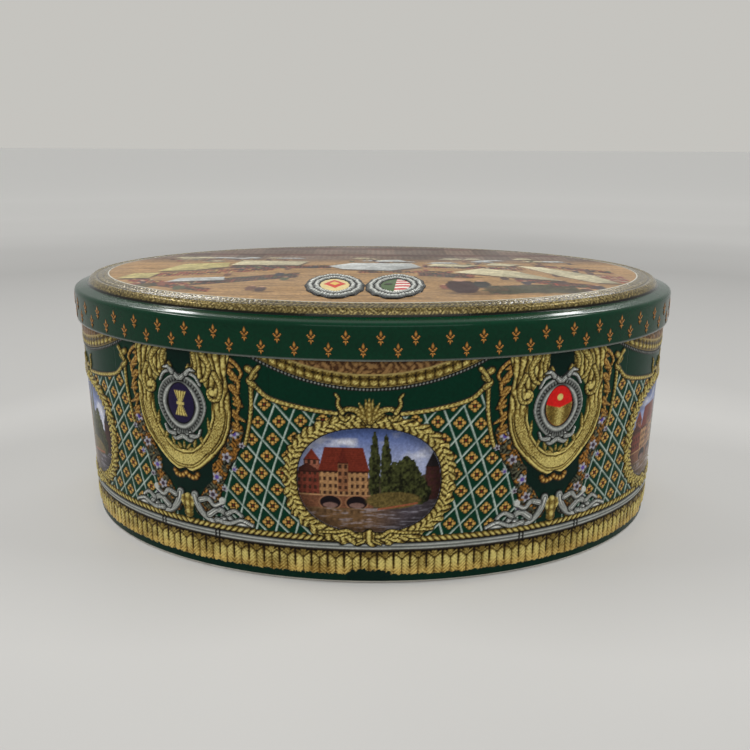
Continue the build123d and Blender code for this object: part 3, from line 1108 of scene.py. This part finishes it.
def passer(cv, cx, cy, h, tint, head=(196, 152, 120)):
    x, y = cv.x - cx, cv.y - cy
    k = unit((y + h / 2) / h)
    half = h * (0.10 + 0.12 * np.sin(np.pi * np.clip(k, 0, 0.86)) - 0.03 * k)
    coat = strip(x, half, 0.5) * (k > 0) * inside(y - h * 0.33, 0.5) * inside(-h / 2 - y, 0.4)
    cv.lay(inside(np.hypot((x - h * 0.18) / h * 2.4, (y + h * 0.5) / h * 7) - 1, 0.5) * 0.5, srgb(60, 42, 34))
    cv.tint(coat, srgb(*tint) * (0.7 + 0.5 * noise(x * 1.5, y, 7))[..., None])
    cv.lay(inside(np.hypot(x, (y - h * 0.41) * 0.85) - h * 0.085, 0.4), srgb(*head))


def market_picture(x, y):
    cv = Canvas(x, y, srgb(176, 134, 96))
    streak = fbm(x / 16, y / 1.6, 3, 4)
    worn = fbm(x / 5, y / 5, 9, 4)
    far = smooth(8, 34, y)
    ground = srgb(172, 136, 92) * (0.35 + 0.95 * streak + 0.25 * worn)[..., None]
    cv.c = blend(ground, srgb(112, 92, 80) * (0.6 + 0.6 * worn)[..., None], far[..., None])
    # hazy houses round the square
    row = smooth(24, 30, y)
    row_x = x + 3 * (y > 45)
    i = np.floor(row_x / 13.0)
    tone = 0.62 + 0.5 * hash01(i, np.floor(y / 22), 5)
    fx = (row_x / 13.0) % 1
    roof = (y % 22) > 15 + 5 * np.abs(fx - 0.5)
    wall_c = srgb(126, 106, 92)[None, None] * tone[..., None]
    roof_c = srgb(104, 74, 64)[None, None] * (tone * (0.85 + 0.2 * noise(x, y * 2, 2)))[..., None]
    town = np.where(roof[..., None], roof_c, wall_c)
    win = strip((row_x / 2.6) % 1 - 0.5, 0.22, 0.2) * strip((y / 3.6) % 1 - 0.5, 0.28, 0.2)
    town = town * (1 - 0.4 * (win * (~roof)))[..., None]
    cv.tint(row, town)
    rng = np.random.default_rng(12)
    goods = [(158, 78, 62), (172, 104, 70), (184, 152, 96), (150, 66, 52), (128, 82, 62)]
    goods += [(190, 174, 146), (156, 84, 80)]
    dark = [(88, 66, 60), (112, 78, 62), (88, 92, 66), (138, 84, 66), (70, 60, 64)]
    cream, pale, butter = srgb(214, 204, 168), srgb(206, 210, 208), srgb(206, 192, 128)
    for n in range(30):
        ax, ay = rng.uniform(-92, 92), rng.uniform(14, 30)
        w, h = rng.uniform(4, 8), rng.uniform(2, 4)
        passer(cv, ax + rng.uniform(-8, 8), ay - rng.uniform(4, 7), 5.5, dark[n % 5])
        cloth = [(ax - w, ay), (ax - w * 0.4, ay + h), (ax + w * 0.5, ay + h), (ax + w, ay)]
        awning(cv, cloth, (cream, pale)[n % 2], n, 2)
    for cx, cy, w, h, seed, tints, slope in (
        (-70, -13, 56, 10, 21, goods[:3] + dark[:1], 0.42),
        (-50, -28, 40, 12, 22, dark, 0.5),
        (-82, -37, 26, 9, 23, goods, -0.5),
        (-72, -46, 26, 7, 29, dark + goods[:2], -0.5),
        (-40, 3, 44, 8, 27, dark + goods[:1], 0.05),
        (14, -9, 40, 6, 28, dark + goods[:3], 0.0),
        (44, 4, 44, 7, 24, goods + dark, -0.12),
        (30, -16, 22, 10, 34, dark, -0.2),
        (60, -46, 34, 16, 25, dark + [(70, 88, 44), (44, 58, 36)], 0.12),
        (72, -34, 30, 10, 31, dark + goods[:2], -0.6),
        (94, -22, 16, 18, 26, goods, -0.4),
        (86, 2, 30, 8, 32, dark + goods[:3], -0.6),
    ):
        crates(cv, cx, cy, w, h, seed, tints, slope)
    for n in range(76):
        px, py = rng.uniform(-90, 92), rng.uniform(-50, 10)
        if px < -34 or px > 26 or py > -6:
            passer(cv, px, py, 6.5 - py * 0.08, dark[n % 5])
    for n, (color, pts) in enumerate(
        (
            (cream, [(-62.7, 8.3), (-59.3, 21.7), (-29.3, 20), (-32.7, 8.3)]),
            (pale, [(1.0, 19.5), (4.5, 25.5), (12.3, 26.7), (16, 20.7)]),
            (cream, [(24, 8.3), (27.3, 15), (47.3, 11.7), (40.7, 6)]),
            (cream, [(50, 12), (54, 18), (66, 14), (60, 9)]),
            (pale, [(-19.3, 6.7), (-9.3, 16), (17.3, 16), (21.3, 5), (7.3, -5), (-12.7, -1.7)]),
            (butter, [(-90, -10), (-83.3, 10), (-64.3, 15), (-62.7, 2.7), (-76, -6.7)]),
            (cream, [(64, 10), (74, 6.7), (90.7, -13.3), (92, -20), (77.3, -16.7)]),
            (cream, [(77.3, -16.7), (90.7, -13.3), (96.7, -33.3), (87.3, -31.7)]),
            (butter, [(-101, -28.3), (-97.7, -16), (-87.7, -14), (-88.7, -26.7)]),
            (cream, [(34, -8.3), (47.3, 2.7), (60.7, -5), (75.7, -28.3), (55.7, -20)]),
            (pale, [(-79.3, -35), (-76, -26.7), (-59.3, -23.3), (-57.7, -30.7)]),
        )
    ):
        awning(cv, pts, color, n + 3)
    passer(cv, 34.5, -40, 30, (62, 36, 34))
    passer(cv, 42.5, -36, 16, (50, 48, 44))
    passer(cv, -38, -16, 9, (60, 60, 70))
    for tx, ty, r, s in ((50, -48, 9, 31), (62, -46, 9, 33), (72, -48, 7, 35), (-86, -44, 5, 36)):
        rr = np.hypot(x - tx, (y - ty) * 1.1) + 5 * (fbm(x / 2, y / 2, s, 3) - 0.5)
        lum = (0.25 + 1.5 * fbm(x / 1.1, y / 1.1, s + 1, 3))[..., None]
        cv.tint(inside(rr - r, 1.2) * 0.8, srgb(70, 68, 44) * lum)
    fine = 0.62 + 0.4 * noise(x * 1.4, y * 1.4, 77)
    cv.c *= fine[..., None]
    return cv


def disc_grid(n):
    # a square grid bent into the unit disc, and the indices round its rim
    g = np.linspace(-1, 1, n)
    a, b = np.meshgrid(g, g, indexing="ij")
    x, y = a * np.sqrt(1 - b * b / 2), b * np.sqrt(1 - a * a / 2)
    rim = [i * n for i in range(n)] + [(n - 1) * n + j for j in range(1, n)]
    rim += [i * n + n - 1 for i in range(n - 2, -1, -1)] + list(range(n - 2, 0, -1))
    return x, y, rim


def lidded_disc(name, x, y, z, low_z, rim, n, cv, mats):
    # a relief top over a flat underside, closed round the edge
    top = np.stack([x, y, z], -1).reshape(-1, 3)
    edge = top[rim].copy()
    edge[:, 2] = low_z
    verts = np.vstack([top, edge]) * MM
    faces = grid_faces(n, n).tolist()
    n_top = len(faces)
    m = len(rim)
    for k in range(m):
        q = (k + 1) % m
        faces.append([rim[k], n * n + k, n * n + q, rim[q]])
    faces.append([n * n + k for k in range(m)][::-1])
    cols = np.zeros((len(verts), 4), np.float32)
    cols[: n * n] = cv.vertex_colors()
    cols[n * n :, :3] = cols[rim, :3]
    face_mats = [0] * (n_top + m) + [len(mats) - 1]
    return new_mesh(name, verts, faces, mats, face_mats, n_top, cols)


PICTURE_INSET = 13.95
n_disc = 305
gx, gy, rim = disc_grid(n_disc)
rho = np.hypot(gx, gy)
turn = np.arctan2(gx, -gy)
# the disc's angle serves as the oval's parameter t
ex, ey, _, _ = oval_xy(turn, PICTURE_INSET)
X, Y = ex * rho, ey * rho
picture = market_picture(X, Y)
Z = np.full(X.shape, TOP_Z) + 0.05 * (1 - rho**2)
picture_mat = print_mat("picture_lithograph", (0.3, 0.42), 0.15, 0.1)
lid_picture = lidded_disc(
    "lid_picture", X, Y, Z, TOP_Z - SHEET, rim, n_disc, picture, [picture_mat, tinplate]
)


# ---- two embossed silver rings with plain arms near the front edge
def ring_piece(name, cx, cy, a, b, tilt, style):
    n = 150
    x, y, rim2 = disc_grid(n)
    r, th = np.hypot(x, y), np.arctan2(y, x)
    lobes = 1 + 0.018 * np.cos(th * 14) + 0.06 * np.exp(-((np.abs(th) - math.pi / 2) ** 2) / 0.05)
    lx, ly = x * a * lobes, y * b * lobes
    cv = Canvas(lx, ly, SILVER_DARK, 0.4)
    fol = foliage(lx, ly, 2.2, 71 + style)
    wave = 0.5 + 0.5 * np.cos((r - 0.82) * 30)
    beads = np.abs(np.sin(th * 23))
    rel = unit(0.75 * wave * (0.45 + 0.55 * beads) + 0.35 * fol)
    cv.silver(np.ones_like(r), rel, 0.25, 0.75)
    cv.h *= smooth(1.0, 0.94, r)
    cv.lay(smooth(0.93, 0.97, r), DARK, 0.1)
    face = inside((r - 0.49) * a)
    cv.lay(inside(np.abs(r - 0.72) * a - 0.25), DARK, 0.1)
    cv.lay(inside((r - 0.54) * a), DARK, 0.1, 0.2)
    if style == 0:
        cv.lay(face, srgb(222, 202, 142), 0.15, 0.35)
        cv.lay(face * inside(np.abs(lx) * 2.0 + np.abs(ly) - 8.5, 0.4), srgb(198, 58, 44), 0.05, 0.5)
        cv.lay(face * inside(np.abs(lx) * 2.0 + np.abs(ly) - 4.0, 0.4), srgb(228, 190, 90), 0.2, 0.6)
    else:
        cv.lay(face, srgb(70, 96, 52), 0.1, 0.35)
        half = face * (lx > 0)
        cv.lay(half, srgb(232, 226, 216), 0.05, 0.35)
        cv.lay(half * (np.sin(ly * 1.15 - lx * 0.5) > 0), srgb(188, 34, 38), 0.05, 0.35)
        cv.lay(face * inside(np.hypot(lx + 2.8, ly) - 1.7), srgb(40, 36, 32), 0.05, 0.5)
    cv.h += face * 0.35 * unit(1 - (r / 0.49) ** 2)
    ct, st = math.cos(tilt), math.sin(tilt)
    px, py = cx + lx * ct - ly * st, cy + lx * st + ly * ct
    z = TOP_Z + 0.08 + 0.9 * cv.h
    return lidded_disc(name, px, py, z, TOP_Z - 0.1, rim2, n, cv, [picture_mat])


RING_Y, RING_A, RING_B, RING_TILT = -41.5, 11.3, 25.0, 0.07
rings = [
    ring_piece("lid_ring_left", -13.8, RING_Y, RING_A, RING_B, RING_TILT, 0),
    ring_piece("lid_ring_right", 9.2, RING_Y, RING_A, RING_B, -RING_TILT, 1),
]


# ---- small gold lilies in two rows round the skirt
def petal_outline(cx, cy, angle, length, width, n=12):
    s = np.linspace(0, 1, n)
    half = width / 2 * np.sin(np.pi * s**0.8)
    pts = [(length * k, h) for k, h in zip(s, half)]
    pts += [(length * k, -h) for k, h in zip(s[-2:0:-1], half[-2:0:-1])]
    ca, sa = math.cos(angle), math.sin(angle)
    return [(cx + p * ca - q * sa, cy + p * sa + q * ca) for p, q in pts]


LILY = [
    petal_outline(0, 0.15, math.pi / 2, 2.5, 1.15),
    petal_outline(-0.1, -0.3, math.radians(150), 1.55, 0.85),
    petal_outline(0.1, -0.3, math.radians(30), 1.55, 0.85),
    petal_outline(-0.75, 0.75, math.radians(205), 0.95, 0.6),
    petal_outline(0.75, 0.75, math.radians(-25), 0.95, 0.6),
    petal_outline(0, -0.55, -math.pi / 2, 2.15, 0.85),
    petal_outline(-0.1, -0.95, math.radians(215), 1.15, 0.6),
    petal_outline(0.1, -0.95, math.radians(-35), 1.15, 0.6),
    petal_outline(-0.95, -0.42, 0, 1.9, 0.5),
]


def lilies(name, mats):
    verts, faces, cols = [], [], []
    per_row = 59
    step = LID_ROUND / per_row
    skirt = TOP_Z - SHOULDER - HEM_Z
    spots = []
    for share, shift in ((0.64, 0.5), (0.31, 0.0)):
        for k in range(per_row):
            spots.append(((k + shift) * step - LID_ROUND / 2 + 3.7, HEM_Z + share * skirt))
    for u0, v0 in spots:
        for layer, outline in enumerate(LILY):
            pts = np.array(outline)
            mid = pts.mean(axis=0)
            lift = 0.05 + 0.015 * layer
            ring_u, ring_v = u0 + pts[:, 0], v0 + pts[:, 1]
            x, y, nx, ny = oval_xy(lid_t(ring_u), 0)
            start = len(verts)
            m = len(pts)
            for k in range(m):
                verts.append((x[k] + nx[k] * lift, y[k] + ny[k] * lift, ring_v[k]))
                cols.append((*srgb(84, 42, 12), 0.3))
            for k in range(m):
                verts.append((x[k] - nx[k] * 0.06, y[k] - ny[k] * 0.06, ring_v[k]))
                cols.append((*srgb(90, 60, 20), 0.3))
            cx, cy, cnx, cny = oval_xy(lid_t(np.array([u0 + mid[0]])), 0)
            verts.append((cx[0] + cnx[0] * (lift + 0.14), cy[0] + cny[0] * (lift + 0.14), v0 + mid[1]))
            cols.append((*srgb(214, 156, 76), 0.35))
            hub = start + 2 * m
            for k in range(m):
                q = (k + 1) % m
                faces.append([start + k, start + q, hub])
                faces.append([start + k, start + m + k, start + m + q, start + q])
            faces.append([start + m + k for k in range(m)][::-1])
    return new_mesh(name, np.array(verts) * MM, faces, mats, None, 0, cols)


lid_lilies = lilies("lid_lilies", [lid_ink])
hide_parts("lid")
for piece in [lid_skirt, lid_border, lid_picture, lid_lilies] + rings:
    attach(piece, "lid")

# ---------------------------------------------------------------- floor, light, camera
floor_mat, fnt, fb = node_mat("pale_floor")
# the sweep pales away from the tin, so that it stays evenly bright out to the horizon: its tones are painted
# shade where the key lights throw their bright pool, and painted brightening farther out and right round the
# tin
ftc = add(fnt, "ShaderNodeTexCoord")
away = add(fnt, "ShaderNodeVectorMath", operation="LENGTH")
join(fnt, ftc, "Object", away, 0)
fn = noise_node(fnt, 3.0, 2)
spread = add(fnt, "ShaderNodeMath", operation="MULTIPLY_ADD")
spread.inputs[1].default_value = 0.12
join(fnt, fn, "Fac", spread, 0)
join(fnt, away, "Value", spread, 2)
fr = add(fnt, "ShaderNodeValToRGB")
# distance stops and floor tones: painted shade in the key lights' pool, painted brightening near the tin and
# far off
FLOOR_PAINTED_LIGHT_TONES = (0.02, 0.62), (0.1, 0.46), (0.33, 0.42), (0.44, 0.52), (0.55, 0.69), (0.7, 0.84), (1.0, 0.93)
stops = fr.color_ramp.elements
stops[0].position = FLOOR_PAINTED_LIGHT_TONES[0][0]
for at, _ in FLOOR_PAINTED_LIGHT_TONES[1:-1]:
    stops.new(at)
for stop, (_, tone) in zip(stops, FLOOR_PAINTED_LIGHT_TONES):
    stop.color = (tone, tone * 0.998, tone * 0.985, 1)
fnt.links.new(ramp(fnt, spread.outputs["Value"], 0.0, 1.0, 0.13, 2.13), fr.inputs["Fac"])
join(fnt, fr, "Color", fb, "Base Color")
put(fb, Roughness=0.8, Specular_IOR_Level=0.1)
FAR = 30.0
corners = [(-FAR, -FAR, 0), (FAR, -FAR, 0), (FAR, FAR, 0), (-FAR, FAR, 0)]
floor = new_mesh("floor", corners, [[0, 1, 2, 3]], [floor_mat])

world = bpy.data.worlds.new("studio")
bpy.context.scene.world = world
world.use_nodes = True
wnt = world.node_tree
bg = wnt.nodes["Background"]
put(bg, Color=(0.95, 0.945, 0.92, 1), Strength=0.58)
seen = add(wnt, "ShaderNodeBackground")
put(seen, Color=(0.56, 0.55, 0.52, 1))
lp = add(wnt, "ShaderNodeLightPath")
choose = add(wnt, "ShaderNodeMixShader")
join(wnt, lp, "Is Camera Ray", choose, "Fac")
join(wnt, bg, "Background", choose, 1)
join(wnt, seen, "Background", choose, 2)
wnt.links.new(choose.outputs["Shader"], wnt.nodes["World Output"].inputs["Surface"])


def area_light(name, pos, aim, w, h, power, color=(1, 1, 1)):
    la = bpy.data.lights.new(name, "AREA")
    la.shape = "RECTANGLE"
    la.size, la.size_y = w, h
    la.energy = power
    la.color = color
    ob = bpy.data.objects.new(name, la)
    bpy.context.scene.collection.objects.link(ob)
    ob.location = pos
    ob.rotation_euler = (Vector(aim) - Vector(pos)).to_track_quat("-Z", "Y").to_euler()


WARM = (1, 0.98, 0.95)
area_light("key", (-0.72, 0.0, 0.86), (-0.06, -0.07, 0.1), 0.5, 0.08, 4.4, WARM)
area_light("key_two", (0.70, -0.02, 0.86), (0.06, -0.07, 0.1), 0.5, 0.08, 4.0, WARM)
area_light("back_left", (-0.45, 0.9, 0.68), (-0.066, -0.07, 0.1), 0.3, 0.05, 0.65)
area_light("back_right", (0.45, 0.9, 0.68), (0.06, -0.07, 0.1), 0.3, 0.05, 0.65)
area_light("front", (0.1, -1.2, 0.9), (0, 0, 0.05), 1.2, 0.6, 4.0)

HALF = LID_A * MM
PITCH, YAW, ROLL = math.radians(16.98), math.radians(-0.39), math.radians(0.30)
fwd = Vector((math.sin(YAW) * math.cos(PITCH), math.cos(YAW) * math.cos(PITCH), -math.sin(PITCH)))
right = fwd.cross(Vector((0, 0, 1))).normalized()
up = right.cross(fwd)
r2 = math.cos(ROLL) * right + math.sin(ROLL) * up
u2 = -math.sin(ROLL) * right + math.cos(ROLL) * up
cam_data = bpy.data.cameras.new("camera")
cam_data.sensor_width = 36
cam_data.lens = 36
cam_data.clip_start = 0.01
cam = bpy.data.objects.new("camera", cam_data)
bpy.context.scene.collection.objects.link(cam)
pose = Matrix((r2, u2, -fwd)).transposed().to_4x4()
pose.translation = Vector((0.028 * HALF, -2.581 * HALF, 1.211 * HALF))
cam.matrix_world = pose
bpy.context.scene.camera = cam
bpy.context.scene.view_settings.view_transform = "Standard"

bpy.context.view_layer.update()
